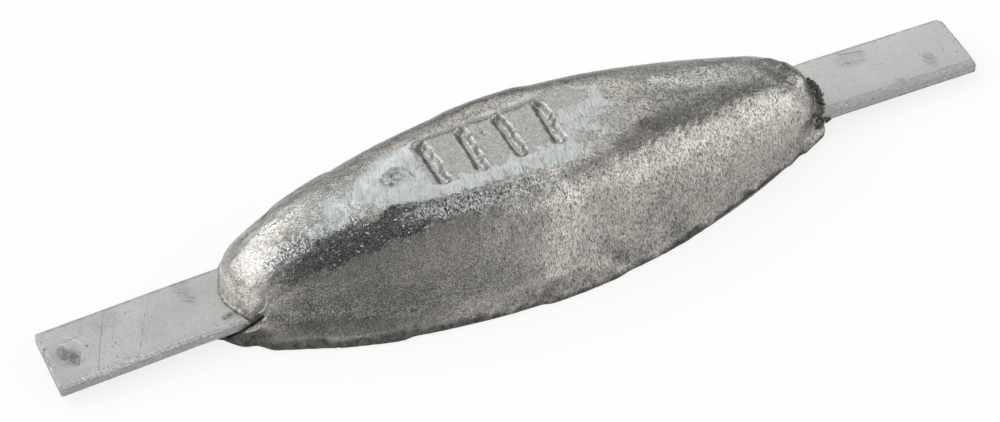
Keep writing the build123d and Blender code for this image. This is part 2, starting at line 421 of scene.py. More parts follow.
def casting_mesh():
    """Points and faces: rings from the back's centre out and up the wall, then strips across the crown."""
    rows = []
    back = outline_sizes(0.0)
    hollow = [size - BACK_RIM for size in back]
    for share in np.linspace(0.03, 0.97, 9):
        rows.append((outline(*[max(0.05, size * share) for size in hollow]), BACK_SINK))
    for share, depth in ((0.985, 0.8), (1.0, 0.25), (1.012, 0.05), (1.03, 0.0)):
        rows.append((outline(*[size * share for size in hollow]), BACK_SINK * depth))
    rows.append((outline(*[size - BACK_EDGE for size in back]), 0.0))
    rows += [(outline(*outline_sizes(z)), z) for z in wall_heights()]
    rings = np.array([np.column_stack([ring, np.full(len(ring), z)]) for ring, z in rows])
    count, columns = rings.shape[:2]
    index = np.arange(count * columns).reshape(count, columns)
    beside = np.roll(index, -1, axis=1)
    quads = np.stack([index[:-1], beside[:-1], beside[1:], index[1:]], -1).reshape(-1, 4).tolist()

    lines = np.arange(2 * QUARTER_STEPS + 1)
    far, near = index[-1][(QUARTER_STEPS - lines) % columns], index[-1][QUARTER_STEPS + lines]
    edge = rings[-1]
    share = np.linspace(0, 1, CROWN_STEPS + 1)[1:-1]
    far_edge = edge[(QUARTER_STEPS - lines[1:-1]) % columns]
    near_edge = edge[QUARTER_STEPS + lines[1:-1]]
    inner = far_edge[:, None] * (1 - share)[None, :, None] + near_edge[:, None] * share[None, :, None]
    strip = np.empty((len(lines), CROWN_STEPS + 1), int)
    strip[:, 0], strip[:, -1] = far, near
    strip[0], strip[-1] = far[0], far[-1]
    strip[1:-1, 1:-1] = count * columns + np.arange(inner.shape[0] * inner.shape[1]).reshape(inner.shape[:2])
    crown = np.stack([strip[:-1, :-1], strip[:-1, 1:], strip[1:, 1:], strip[1:, :-1]], -1).reshape(-1, 4)
    crown = [list(dict.fromkeys(quad)) for quad in crown.tolist()]
    points = np.vstack([rings.reshape(-1, 3), inner.reshape(-1, 3)])
    points[:, 0] += CASTING_X
    return points, quads + [face for face in crown if len(face) > 2] + [index[0][::-1].tolist()]


# ======== casting: tongues, noses and rim
def push_noses(points):
    """Tongues under the strap, the collar and the fin where each nose meets the strap."""
    z = points[:, 2]
    left_reach, right_reach, _, nose = outline_sizes(z)
    ragged = noise_field(points, 2.4, 3, 11)
    slow = noise_field(points, 9, 2, 12)
    sides = ((-1, left_reach, LEFT_REACH, TONGUE_HALF_WIDTH - 1.4, 2.6),
             (1, right_reach, RIGHT_REACH, TONGUE_HALF_WIDTH + 1.0, 7))
    for side, reach, foot_reach, half, power in sides:
        centre = CASTING_X + side * (reach - nose)
        dx, dy = (points[:, 0] - centre) * side, points[:, 1]
        ahead = dx > 0.2 * nose
        radial = np.hypot(dx, dy)
        safe = np.maximum(radial, 1e-6)
        tip = foot_reach + TONGUE_REACH - np.abs(centre - CASTING_X)
        ahead_share, across_share = np.abs(dx) / safe, np.abs(dy) / safe
        tongue = ((ahead_share / tip) ** power + (across_share / half) ** power) ** (-1 / power)
        held = 1 - ease(TONGUE_TOP - 1.4, TONGUE_TOP + 0.5, z)
        if side > 0:
            # the near ear beside the strap has two straight sides and a sharp upright corner
            ear = tip / np.maximum(ahead_share, 1e-6)
            for away, ahead_part, across_part in EAR_SIDES:
                ear = np.minimum(ear, away / (ahead_part * ahead_share + across_part * across_share))
            ear = radial + (ear - radial) * ease(72, 64, np.degrees(np.arctan2(across_share, ahead_share)))
            tongue = np.where(dy < 0, ear, tongue)
            held = np.where(dy < 0, 1 - ease(TONGUE_TOP - 2.4, TONGUE_TOP + 0.4, z), held)
        push = np.where(ahead & (z > 0), np.maximum(0, tongue - radial) * held, 0)
        if side < 0:
            # the nose turns in under its dome where it meets the strap
            tuck = 2.8 * hump(z, STRAP_TOP, 6.0) * ease(19, 11, np.abs(dy))
            fin = 0.8 * hump(z, STRAP_TOP + 0.9, 0.6) * (0.6 + 0.8 * ragged)
            push += np.where(ahead & (z > TONGUE_TOP + 0.5), fin * ease(17.5, 15.5, np.abs(dy)) - tuck, 0)
            push -= 1.5 * hump(points[:, 0], -127, 3) * hump(dy, -20.5, 3) * ease(7, 3, z)
        else:
            width = 2.5 * ease(7.0, 0.5, dy) * ease(-17.5, -14, dy)
            collar = width * (0.8 + 1.5 * ragged + 0.5 * slow)
            collar *= ease(13.6, 11.6, z) * ease(9.5, 10.8, z)
            push += np.where(ahead, np.maximum(collar, 0), 0)
            push += np.where(ahead, 0.3 * ragged * ease(7, 4, z) * (z > 0) * (dy < 0), 0)
        points[:, 0] += np.where(ahead, side * push * dx / safe, 0)
        points[:, 1] += np.where(ahead, push * dy / safe, 0)


def roughen_casting(points, faces):
    """Moves the plain form's points to the cast surface; returns the masks that the finish reads."""
    push_noses(points)
    normals = mesh_normals(points, faces)
    x, y, z = points.T
    cast = (z > 0.05).astype(float)
    plan = points[:, :2]

    broad, slow, pebble, fine, ragged = (noise_field(points, *form) for form in SKIN_NOISES)

    # where the crown was ground, and where the field is sunk into it
    feathered = ease(5, 32, x)
    feather = noise_field(points @ SWIRL, 3.2, 3, 9) * feathered
    inside_ground = inside_distance(plan, GROUND_OUTLINE)
    ground_edge = inside_ground + 1.6 * ragged + 0.9 * fine + 3.0 * feather
    ground = np.clip((ground_edge + 0.9) / (2.4 + 9 * feathered), 0, 1) * ease(35, 38, z)
    ground *= 1 - 0.3 * feathered * ease(0.3, -0.3, feather + 0.5 * ragged)
    ground *= 1 - 0.6 * bloom(points, LESS_GROUND) * ease(-0.5, 0.3, ragged)
    patches = ease(-2, 5, inside_distance(plan, PATCH_OUTLINE) + 3 * ragged)
    patches *= 0.5 + 0.5 * ease(-0.25, 0.3, noise_field(points, 6.5, 4, 8))
    flattened = ground
    ground = np.maximum(ground, 0.8 * patches)
    beyond = np.maximum(np.abs(plan - FIELD_CENTRE) - np.array(FIELD_HALF) + FIELD_CORNER, 0)
    field_edge = np.hypot(beyond[:, 0], beyond[:, 1]) - FIELD_CORNER + 0.5 * ragged
    field_edge += 3.5 * ease(-40.5, -46, x + 0.8 * ragged)
    on_top = ease(39.5, 41, z)
    field = ease(1.1, -2.2, field_edge) * on_top * ease(22, 8, x + 3 * ragged)
    share = np.clip((y - FIELD_CENTRE[1]) / FIELD_HALF[1] * 0.5 + 0.5, 0, 1)
    field_depth = field * (FIELD_DEPTH_NEAR + (FIELD_DEPTH_FAR - FIELD_DEPTH_NEAR) * share)
    beyond_field = bloom(points, BEYOND_FIELD)
    bare = 1 - ease(0.15, 0.6, field * (0.3 + 0.7 * ease(0.0, 0.35, share + 0.25 * ragged)))
    bare = bare * (1 - 0.85 * beyond_field * ease(20.5, 18, y + ragged))
    ground, flattened = ground * bare, flattened * bare

    bars = np.full(len(points), 1e9)
    left_of_bar = np.zeros(len(points))
    for bar_x, lean in zip(TALLY_X, TALLY_LEAN):
        ends = [(bar_x - lean, TALLY_Y[0]), (bar_x + lean, TALLY_Y[1])]
        left_side = path_distance(plan, shifted(ends, 1.0 - TALLY_HALF_WIDTH, 0))
        left_of_bar = np.maximum(left_of_bar, ease(0.9, 0.2, left_side + 0.35 * fine))
        bars = np.minimum(bars, path_distance(plan, ends))
    bar_edge = bars - TALLY_HALF_WIDTH + 0.8 * ragged + 0.4 * fine
    cut = ease(0.4, -2.3, bar_edge) * on_top
    burr = hump(bar_edge, 0.9, 0.6) * on_top

    # crater and crescent beside the field
    beside_field = ease(37, 39, z)
    crater = np.exp(-((((plan - CRATER_CENTRE) / CRATER_HALF) ** 2).sum(axis=1)) ** 2) * beside_field
    crescent = ridge(plan, CRESCENT, 1.0) * beside_field

    # the rough upper side of the left nose and the rough right dome
    nose_rough = hump(x, -101, 13) * hump(y, -7, 10) * ease(18, 28, z)
    dome_rough = ease(48, 64, x + 3 * ragged) * ease(26, 34, z)

    height = 0.35 * broad + 0.22 * slow + 0.07 * pebble + 0.03 * fine
    crinkle = 1 - 2.4 * np.abs(noise_field(points * (1.25, 0.8, 1.0), 4.2, 3, 6))
    height += nose_rough * (0.6 * crinkle + 0.3 * pebble + 0.6 * fine) + 0.06 * dome_rough * pebble
    wander = points + 0.9 * np.column_stack([ragged, -ragged, fine])
    ridges = sum(size * ridge(wander, path, half_width) for path, half_width, size in RIDGES)
    as_cast = height + ridges * (0.6 + 0.9 * fine)
    # the flank stands back from the nose's seam, and a groove runs inside the lip
    as_cast -= 0.2 * ridge(wander, shifted(NOSE_SEAM, 2.0, -1.5, 0.4), 2.2)
    as_cast -= 1.3 * ridge(points, shifted(LIP, -1.3, 1.6, -0.4), 1.4)
    as_cast += 0.3 * (0.6 + slow) * hump(z, 0.9, 0.8) * cast
    flash = ease(44, 56, x) * ease(119, 116, x) * ease(-16, -24, y)
    as_cast += flash * (0.35 * ragged + 0.2 * slow - 0.35) * hump(z, 0.7, 0.9)
    as_cast += blooms(points, SWELLS)
    # the crown falls away where the grinding stopped, and takes the shoulder with it
    beside = np.maximum(0, -inside_ground)
    near_left = ease(12, -6, y) * ease(5, -45, x)
    as_cast -= near_left * ease(-2.5, 7, beside) * ease(16, 34, z) * (beside > 0)
    moved = as_cast * (1 - 0.93 * flattened) + 0.12 * broad * flattened
    moved += -field_depth + 0.07 * pebble * field - TALLY_DEPTH * cut + 0.25 * burr * (0.4 + ragged)
    moved -= 0.35 * crescent * (0.8 + ragged) + 0.35 * crater * np.clip(0.2 + fine + pebble, 0, 1.5)
    pour = 0.25 * slow + 0.12 * pebble + 0.1 * np.sin(0.16 * x + 2.5 * broad)
    moved = np.where(cast > 0, moved, pour * ease(0.05, 0.8, z + 0.3) * ease(140, 120, np.abs(x)))
    points += normals * moved[:, None]
    points[:, 2] = np.maximum(points[:, 2], 0.0)

    # the dark places: painted shade in the gap under the lip, in the left collar's crease, on the skirts
    # under the strap, on the walls of what is sunk and in the crater and crescent, with a painted shadow on
    # the tally's left walls; the rim along the foot and the right collar are darkened too
    rim_height = 2.0 + 1.7 * ease(-30, -70, x) + 3.0 * np.maximum(slow, 0) * ease(30, 60, x) * (x < 98)
    rim = ease(rim_height + 1.6, rim_height - 1.2, z + 1.6 * ragged) * cast
    gap = ridge(points, shifted(LIP, -1.3, 1.6, -0.6), 2.6)
    right_collar = ease(112, 126, x) * ease(13.9, 12.6, z) * ease(8, 10, z) * ease(9, 5, y)
    left_collar = hump(z, STRAP_TOP + 0.1, 0.7) * ease(112, 120, -x) * ease(19, 17, np.abs(y))
    skirts = ease(114, 124, -x) * ease(10.0, 6.5, z + 1.2 * ragged) * cast
    dark = np.maximum.reduce([rim, gap, right_collar, left_collar, skirts, 0.95 * left_of_bar * on_top,
                              1.2 * cut * (1 - cut), 0.7 * crater * (0.4 + 2 * fine),
                              0.8 * crescent * (0.6 + ragged)])
    blotch = points + 3.0 * np.column_stack([ragged, pebble, -ragged])
    # tarnish stains on the flanks, together with painted shade from the dark blooms
    tarnish = (0.25 * np.exp(-(((x + 84) / 36) ** 2) ** 1.5) * ease(26, 14, z) * ease(-112, -100, x)
               + 0.6 * hump(x, 47, 20) * hump(z, 12, 13) + 0.6 * ease(58, 80, x) * ease(19, 7, z)
               + blooms(blotch, DARK_BLOOMS))
    field_tint = np.maximum(ease(1.3, -0.8, field_edge) * on_top, beyond_field * ease(21, 18, y))
    return {
        # band: painted dark reflection along the near shoulder
        "band": np.clip(blooms(blotch, BAND_BLOOM), 0, 1),
        "tarnish": np.clip(tarnish, 0, 1.4),
        # pale: painted light
        "pale": np.clip(blooms(blotch, PALE_BLOOMS), 0, 2.1),
        "ground": ground,
        "field": field_tint,
        "dark": np.clip(dark, 0, 1),
        "oxide": np.clip(dome_rough * ease(-14, -7, y) + blooms(blotch, COOL_BLOOM), 0, 1),
        "wrinkled": np.maximum(0.65 * bloom(blotch, WRINKLED), bloom(blotch, WRINKLED_NOSE)),
        # bright: a painted highlight on the left nose's dome
        "bright": hump(x, -116.5, 10.5) * hump(y, -3.5, 11) * ease(9, 13, z),
        "porous": np.clip(crater + 0.8 * nose_rough, 0, 1),
        "rough": np.clip(cast * (1 - 0.9 * ground), 0, 1),
    }


# ======== node trees
class Wire:
    """A node's output: arithmetic on it, and its methods, add the nodes that work out the result."""

    def __init__(self, work, socket):
        self.work, self.socket = work, socket

    def math(self, operation, other=0.0, **settings):
        return self.work.add("ShaderNodeMath", {0: self, 1: other}, operation=operation, **settings)

    __add__ = __radd__ = partialmethod(math, "ADD")
    __sub__ = partialmethod(math, "SUBTRACT")
    __mul__ = __rmul__ = partialmethod(math, "MULTIPLY")
    __truediv__ = partialmethod(math, "DIVIDE")
    __abs__ = partialmethod(math, "ABSOLUTE")
    max = partialmethod(math, "MAXIMUM")
    min = partialmethod(math, "MINIMUM")

    def __rsub__(self, other):
        return self.work.add("ShaderNodeMath", {0: other, 1: self}, operation="SUBTRACT")

    def vector(self, operation, other=None, scale=None):
        output = "Value" if operation in ("DOT_PRODUCT", "LENGTH", "DISTANCE") else "Vector"
        inputs = {0: self, 1: other, "Scale": scale}
        return self.work.add("ShaderNodeVectorMath", inputs, output, operation=operation)

    def times(self, *factors):
        """A place squeezed or stretched by a factor along each axis."""
        return self.vector("MULTIPLY", factors)

    def turned(self, angle):
        inputs = {"Vector": self, "Angle": angle}
        return self.work.add("ShaderNodeVectorRotate", inputs, rotation_type="Z_AXIS")

    def axes(self):
        parts = self.work.fan("ShaderNodeSeparateXYZ", {0: self})
        return parts.x, parts.y, parts.z

    def span(self, low, high, out_low=0.0, out_high=1.0):
        """Eased change from out_low to out_high as this goes from low to high."""
        inputs = {"Value": self, "From Min": low, "From Max": high, "To Min": out_low, "To Max": out_high}
        return self.work.add("ShaderNodeMapRange", inputs, "Result", interpolation_type="SMOOTHSTEP")

    def noise(self, size, detail=2.0, roughness=0.5, distortion=0.0, seed=0.0):
        inputs = {"Vector": self, "W": seed, "Scale": 1 / size, "Detail": detail,
                  "Roughness": roughness, "Distortion": distortion}
        return self.work.add("ShaderNodeTexNoise", inputs, noise_dimensions="4D")

    def blend(self, *colours):
        """The first colour where this is 0 and the second where it is 1."""
        a, b = ((*colour, 1.0) if isinstance(colour, tuple) else colour for colour in colours)
        return self.work.add("ShaderNodeMix", {0: self, 6: a, 7: b}, 2, data_type="RGBA")

    def level(self, a, b):
        """Number a where this is 0 and b where it is 1."""
        return self.work.add("ShaderNodeMix", {0: self, 2: a, 3: b}, data_type="FLOAT")

    def coats(self, *layers):
        """This colour under layers of others, each with its share."""
        skin = self
        for share, colour in layers:
            skin = share.blend(skin, colour)
        return skin

    def stroke(self, path, half_width, ragged):
        """1 on the line through these points and 0 beyond its half-width."""
        nearest = None
        for start, end in zip(path, path[1:]):
            start, end = Vector(start).to_3d(), Vector(end).to_3d()
            way, offset = end - start, self.vector("SUBTRACT", start)
            along = offset.vector("DOT_PRODUCT", way).math("DIVIDE", way.length_squared, use_clamp=True)
            foot = self.work.add("ShaderNodeVectorMath", {0: way, "Scale": along}, operation="SCALE")
            away = offset.vector("DISTANCE", foot)
            nearest = nearest.min(away) if nearest else away
        return (nearest + ragged).span(half_width * 1.5, half_width * 0.4)


class NodeWork:
    """Adds nodes to a tree. An input takes a plain value or a wire."""

    def __init__(self, tree):
        self.tree = tree

    def node(self, kind, inputs=None, **settings):
        node = self.tree.nodes.new(kind)
        for key, value in settings.items():
            setattr(node, key, value)
        for key, value in (inputs or {}).items():
            if isinstance(value, Wire):
                self.tree.links.new(value.socket, node.inputs[key])
            elif value is not None:
                node.inputs[key].default_value = value
        return node

    def add(self, kind, inputs=None, output=0, **settings):
        """One output of a new node."""
        return Wire(self, self.node(kind, inputs, **settings).outputs[output])

    def fan(self, kind, inputs=None):
        """All the outputs of a new node, each under its name in small letters."""
        sockets = {socket.name: Wire(self, socket) for socket in self.node(kind, inputs).outputs}
        return SimpleNamespace(**{name.lower().replace(" ", "_"): wire for name, wire in sockets.items()})

    def masks(self, names):
        return [self.add("ShaderNodeAttribute", output="Fac", attribute_name=name) for name in names.split()]

    def place(self, *axes):
        return self.add("ShaderNodeCombineXYZ", dict(enumerate(axes)))

    def moved(self, geometry, **how):
        inputs = {label(key): value for key, value in how.items()}
        return self.add("GeometryNodeSetPosition", {"Geometry": geometry} | inputs)

    def pushed(self, geometry, push):
        """Each point moved along its normal."""
        return self.moved(geometry, offset=self.add("GeometryNodeInputNormal").vector("SCALE", scale=push))

    def end(self, inputs):
        """Ends a material in a principled shader with these inputs."""
        self.node("ShaderNodeOutputMaterial", {"Surface": self.add("ShaderNodeBsdfPrincipled", inputs)})

    def close(self, geometry, finish):
        """Ends a geometry tree in real geometry with its finish on it."""
        real = self.add("GeometryNodeRealizeInstances", {"Geometry": geometry})
        dressed = self.add("GeometryNodeSetMaterial", {"Geometry": real, "Material": finish})
        self.node("NodeGroupOutput", {"Geometry": dressed})
        return self.tree


def label(name):
    """What a tree calls the input of this name."""
    return name.replace("_", " ").capitalize()


def geometry_tree(name, **sizes):
    """Work on a tree with one geometry in and out, and its inputs: a named number for each of sizes."""
    tree = bpy.data.node_groups.new(name, "GeometryNodeTree")
    for in_out in ("INPUT", "OUTPUT"):
        tree.interface.new_socket("Geometry", in_out=in_out, socket_type="NodeSocketGeometry")
    for size, value in sizes.items():
        socket = tree.interface.new_socket(label(size), in_out="INPUT", socket_type="NodeSocketFloat")
        socket.default_value = value
    tree.interface.new_socket("Finish", in_out="INPUT", socket_type="NodeSocketMaterial")
    work = NodeWork(tree)
    return work, work.fan("NodeGroupInput")


def grow(piece, tree, finish, **sizes):
    """Runs a geometry tree on a piece with these sizes and keeps the result as its plain mesh."""
    modifier = piece.modifiers.new("form", "NODES")
    modifier.node_group = tree
    values = {"Finish": finish} | {label(size): value for size, value in sizes.items()}
    for item in tree.interface.items_tree:
        if item.in_out == "INPUT" and item.name in values:
            modifier[item.identifier] = values[item.name]
    depsgraph = bpy.context.evaluated_depsgraph_get()
    mesh = bpy.data.meshes.new_from_object(piece.evaluated_get(depsgraph))
    mesh.polygons.foreach_set("use_smooth", [True] * len(mesh.polygons))
    name = piece.name
    bpy.data.batch_remove([piece, piece.data])
    mesh.name = name
    return add_object(name, mesh)


def cast_skin_tree():
    """Pebbled, pitted skin: moves each point along its normal, less where the metal was ground."""
    work, given = geometry_tree("cast_skin", pebble_size=0.003, pebble_height=0.0001, pit_spacing=0.008,
                                pit_depth=0.0004, seed=1.0)
    position = work.add("GeometryNodeInputPosition")
    rough = work.add("GeometryNodeInputNamedAttribute", {"Name": "rough"}, data_type="FLOAT")
    pebble = position.vector("DIVIDE", given.pebble_size).noise(1.0, seed=given.seed)
    pit_place = position.vector("DIVIDE", given.pit_spacing)
    pit = work.add("ShaderNodeTexVoronoi", {"Vector": pit_place, "Scale": 1.0}, "Distance")
    move = ((pebble - 0.5) * (given.pebble_height * 4.0) - pit.span(0.16, 0.04) * given.pit_depth) * rough
    return work.close(work.pushed(given.geometry, move), given.finish)


def crumbs_tree():
    """Crumbs of burnt flash scattered along a line."""
    work, given = geometry_tree("crumbs", spacing=0.0003, crumb_size=0.0006, scatter=0.001, seed=1.0)
    inputs = {"Curve": given.geometry, "Length": given.spacing}
    line = work.add("GeometryNodeResampleCurve", inputs, mode="LENGTH")
    places = work.add("GeometryNodeCurveToPoints", {"Curve": line}, mode="EVALUATED")

    def random_vector(low, high, seed):
        inputs = {0: (low,) * 3, 1: (high,) * 3, "Seed": given.seed + seed}
        return work.add("FunctionNodeRandomValue", inputs, data_type="FLOAT_VECTOR")

    jitter = random_vector(-1, 1, 1.0).vector("SCALE", scale=given.scatter)
    scattered = work.moved(places, offset=jitter.times(1.0, 1.0, 0.45))
    crumb = work.add("GeometryNodeMeshIcoSphere", {"Radius": given.crumb_size, "Subdivisions": 1})
    spots = work.add("GeometryNodeInstanceOnPoints", {
        "Points": scattered, "Instance": crumb, "Rotation": random_vector(0, 6.28, 2.0),
        "Scale": random_vector(0.3, 1.6, 3.0)})
    real = work.add("GeometryNodeRealizeInstances", {"Geometry": spots})
    position = work.add("GeometryNodeInputPosition")
    dents = work.add("ShaderNodeTexNoise", {"Vector": position, "Scale": 1600.0, "Detail": 2.0})
    return work.close(work.pushed(real, (dents - 0.5) * (given.crumb_size * 1.8)), given.finish)


def bar_tree():
    """A rolled flat bar: rounded section, rounded plan corners, one corner clipped, both ends set down."""
    work, given = geometry_tree(
        "flat_bar", length=0.4, width=0.03, thickness=0.005, middle_height=0.0, edge_radius=0.0006,
        corner_radius=0.001, clipped_corner=0.002, left_bend=0.1, left_droop=0.0, right_bend=0.1,
        right_droop=0.0, edge_wear=0.0004, waviness=0.0001)
    line = work.add("GeometryNodeCurvePrimitiveLine", {"Start": (-1, 0, 0), "End": (1, 0, 0)})
    line = work.add("GeometryNodeResampleCurve", {"Curve": line, "Count": STRAP_STATIONS}, mode="COUNT")
    # stations crowd towards both ends, where the corners are
    t, _, _ = work.add("GeometryNodeInputPosition").axes()
    sides = given.length, given.width, given.thickness
    half_length, half_width, half_thickness = (side * 0.5 for side in sides)
    line = work.moved(line, position=work.place((t * 1.5 - t.math("POWER", 3.0) * 0.5) * half_length))
    inputs = {"Width": given.width, "Height": given.thickness}
    section = work.add("GeometryNodeCurvePrimitiveQuadrilateral", inputs)
    inputs = {"Curve": section, 1: STRAP_EDGE_POINTS, "Radius": given.edge_radius}
    section = work.add("GeometryNodeFilletCurve", inputs, mode="POLY")
    section = work.add("GeometryNodeSubdivideCurve", {"Curve": section, "Cuts": 3})
    bar = work.add("GeometryNodeCurveToMesh", {"Curve": line, "Profile Curve": section, "Fill Caps": True})
    x, y, z = work.add("GeometryNodeInputPosition").axes()
    from_end = half_length - abs(x)

    def rounding(radius):
        """How far a rounded corner draws in the side, this far from the end."""
        short = (radius - from_end).max(0.0)
        return radius - (radius * radius - short * short).max(0.0).math("SQRT")

    far_right = x.math("GREATER_THAN", 0.0) * y.math("GREATER_THAN", 0.0)
    draw_in = far_right.level(rounding(given.corner_radius), (given.clipped_corner - from_end).max(0.0))
    y_new = y * (1.0 - draw_in / half_width)
    # the near top edge is rolled over on the right and a little on the left
    near_edge = (y * -1.0).span(half_width * 0.80, half_width)
    worn = near_edge * z.math("GREATER_THAN", 0.0) * x.span(-0.05, 0.05, 0.35, 1.0)
    wave = work.add("ShaderNodeTexNoise", {"Vector": work.place(x, y, z), "Scale": 45.0, "Detail": 3.0})
    z_new = z * (1.0 - rounding(given.edge_radius) / half_thickness) - worn * given.edge_wear
    z_new = z_new + (wave - 0.5) * given.waviness
    bends = (-1.0, given.left_bend, given.left_droop), (1.0, given.right_bend, given.right_droop)
    for side, bend, droop in bends:
        z_new = z_new - (x * side - bend).max(0.0) * droop.math("TANGENT")
    place = work.place(x, y_new, z_new + given.middle_height)
    return work.close(work.moved(bar, position=place), given.finish)


# ======== finishes
def new_finish(name):
    """A new material, its work, and the place on the piece in millimetres."""
    finish = bpy.data.materials.new(name)
    finish.use_nodes = True
    finish.node_tree.nodes.clear()
    work = NodeWork(finish.node_tree)
    return finish, work, work.add("ShaderNodeTexCoord", output="Object").vector("SCALE", scale=1 / MM)


def stack_bumps(*layers):
    """Bump layers over one another, each a height and how far it stands out in millimetres."""
    normal = None
    for height, distance in layers:
        inputs = {"Height": height, "Distance": distance * MM, "Strength": 1.0, "Normal": normal}
        normal = height.work.add("ShaderNodeBump", inputs)
    return normal


def cast_zinc():
    """As-cast grey skin with sparkling grain, ground bright on the crown, with painted shade in its hollows
    and under the strap, painted highlights and reflections, and darker flash.
    """
    finish, work, mm = new_finish("cast_zinc")
    ground, field, dark, oxide, bright, porous = work.masks("ground field dark oxide bright porous")
    tarnish, pale, band, wrinkled = work.masks("tarnish pale band wrinkled")
    drawn = mm.times(1.15, 0.75, 0.55)
    x, _, _ = mm.axes()
    coarse = x.span(-60.0, 10.0)
    grain = coarse.level(mm.noise(0.55, 2.0, 0.7, 0.0, 23.0), drawn.noise(0.75, 3.0, 0.70))
    # where the two grains overlap, their contrast is brought back
    grain = (grain - 0.5) * (coarse * (1.0 - coarse) * 1.9 + 1.0) + 0.5
    pebble = mm.noise(2.2, 2.0, 0.5, 0.3, 2.0)
    patches = mm.noise(17, 3.0, 0.55, 0.0, 3.0)
    mottle = mm.noise(3.2, 4.0, 0.65, 0.5, 4.0)
    cast_marks = mm.noise(5.5, 4.0, 0.62, 0.4, 20.0)
    dashes = mm.times(1.0, 0.6, 0.5).noise(0.7, 3.0, 0.65, 0.6, 21.0)
    even = coarse.level(0.95, 1.0)

    # the bare casting: crystals, marks of the mould, films and tints, many of the tints painted shade,
    # highlight and reflection
    crystals = grain.span(0.35, 0.53).blend((0.15, 0.142, 0.13), (0.51, 0.487, 0.45))
    crystals = crystals.coats((grain.span(0.55, 0.68, 0.0, 0.75), (0.86, 0.83, 0.77)))
    # a darker film: tarnish together with painted shade
    film_and_shade = tarnish * patches.span(0.25, 0.65, 0.45, 0.95) * grain.span(0.35, 0.65, 1.05, 0.7)
    film_and_shade_colour = grain.span(0.37, 0.63).blend((0.078, 0.076, 0.069), (0.238, 0.231, 0.208))
    dull = grain.span(0.38, 0.62).blend((0.15, 0.157, 0.149), (0.40, 0.416, 0.397))
    # painted dark reflection of the band along the near shoulder, with painted glints in it
    band_shade_colour = grain.span(0.42, 0.66).blend((0.022, 0.028, 0.026), (0.15, 0.165, 0.16))
    # painted highlight: lighter skin where the key light's reflection falls on the left nose
    painted_highlight_colour = grain.span(0.34, 0.56).blend((0.40, 0.39, 0.375), (0.69, 0.675, 0.65))
    # painted light on the skin where the pale blooms lie, and on the ground below
    painted_light_tint = oxide.blend((0.95, 0.91, 0.84), (0.88, 0.91, 0.885))
    painted_light_colour = grain.span(0.36, 0.56).blend((0.33, 0.316, 0.29), painted_light_tint)
    # pores, and thin curling lines between the crystals
    pores = drawn.noise(1.1, 2.0, 0.6, 0.0, 5.0).span(0.42, 0.34)
    lines = abs(mm.noise(2.4, 2.0, 0.6, 1.0, 14.0) - 0.5).span(0.030, 0.006) * mottle.span(0.44, 0.58)
    pitted = pores.max(lines) * coarse.level(0.5, 0.85)
    band_painted_glints = band * mm.times(0.55, 1.0, 0.9).noise(0.95, 2.0, 0.6, 0.0, 17.0).span(0.61, 0.68)
    # painted glints and shade of the wrinkled skin, from near black to near white
    crinkle_glints_and_shade = dashes.span(0.40, 0.60).blend((0.045, 0.052, 0.049), (0.90, 0.91, 0.89))
    floor_grey = grain.span(0.30, 0.70).blend((0.32, 0.317, 0.303), (0.50, 0.493, 0.47))
    floor_grey = floor_grey.coats((mottle.span(0.44, 0.34, 0.0, 0.5), (0.24, 0.237, 0.227)))
    skin = even.blend((0.40, 0.379, 0.345), crystals).coats(
        (coarse * cast_marks.span(0.50, 0.66, 0.0, 0.45), (0.27, 0.257, 0.232)),
        (coarse * cast_marks.span(0.46, 0.34, 0.0, 0.3), (0.68, 0.65, 0.60)),
        (patches.span(0.35, 0.7, 0.0, 0.40), (0.36, 0.345, 0.31)),
        (film_and_shade, film_and_shade_colour),
        (oxide * mottle.span(0.3, 0.6, 0.4, 0.8), dull),
        (band * 0.93, band_shade_colour),
        (bright * 0.72, painted_highlight_colour),
        (pale * 0.42, painted_light_colour),
        (pitted * 0.82, (0.075, 0.072, 0.066)),
        (band_painted_glints * 0.85, (0.74, 0.75, 0.73)),
        (wrinkled * 0.85, crinkle_glints_and_shade),
        (field, floor_grey))

    # the ground crown: streaks of the disc, broken where it only touched the high spots
    streak_place = mm.turned(0.28).times(1.0, 0.11, 0.5)
    streaks = streak_place.noise(0.55, 3.0, 0.6, 0.0, 6.0)
    strokes = mm.turned(-0.75).times(1.0, 0.22, 0.5).noise(1.5, 3.0, 0.65, 0.6, 15.0)
    broken = ((strokes + grain) * 0.5 - 0.5) * 2.6
    filed_away = (ground + broken).span(0.30, 0.62)
    brush = abs(streak_place.noise(1.6, 2.0, 0.5, 0.8, 18.0) - 0.5)
    brushed = brush.span(0.035, 0.008) * mottle.span(0.40, 0.60)
    nicks = mottle.span(0.42, 0.33) * grain.span(0.58, 0.42)
    filed = streaks.span(0.30, 0.70).blend(coarse.blend((0.45, 0.482, 0.478), (0.45, 0.467, 0.453)),
                                           coarse.blend((0.66, 0.695, 0.687), (0.66, 0.68, 0.662))).coats(
        (pale * 0.35, (0.86, 0.875, 0.865)),
        (mm.noise(7.0, 3.0, 0.6, 0.5, 19.0).span(0.4, 0.62, 0.0, 0.35), (0.40, 0.415, 0.40)),
        (brushed * coarse.level(0.55, 0.8), (0.20, 0.215, 0.21)),
        (nicks * 0.8, (0.19, 0.20, 0.19)))

    # painted shade of the dark places, a painted shadow in the gap under the strap and painted highlight
    # lines at the left junction
    ragged = (pebble - 0.5) * 0.8
    gap = mm.stroke(GAP_LINE, 0.62, ragged)
    skin = skin.coats(
        (filed_away, filed),
        (porous * mottle.span(0.52, 0.36), (0.19, 0.195, 0.19)),
        (dark * pebble.span(0.2, 0.6, 1.0, 0.72), (0.034, 0.032, 0.028)),
        *((mm.stroke(path, 0.38, ragged) * 0.75, (0.70, 0.68, 0.64)) for path in BRIGHT_LINES),
        (gap, (0.008, 0.008, 0.007)))
    dark = dark.max(gap)

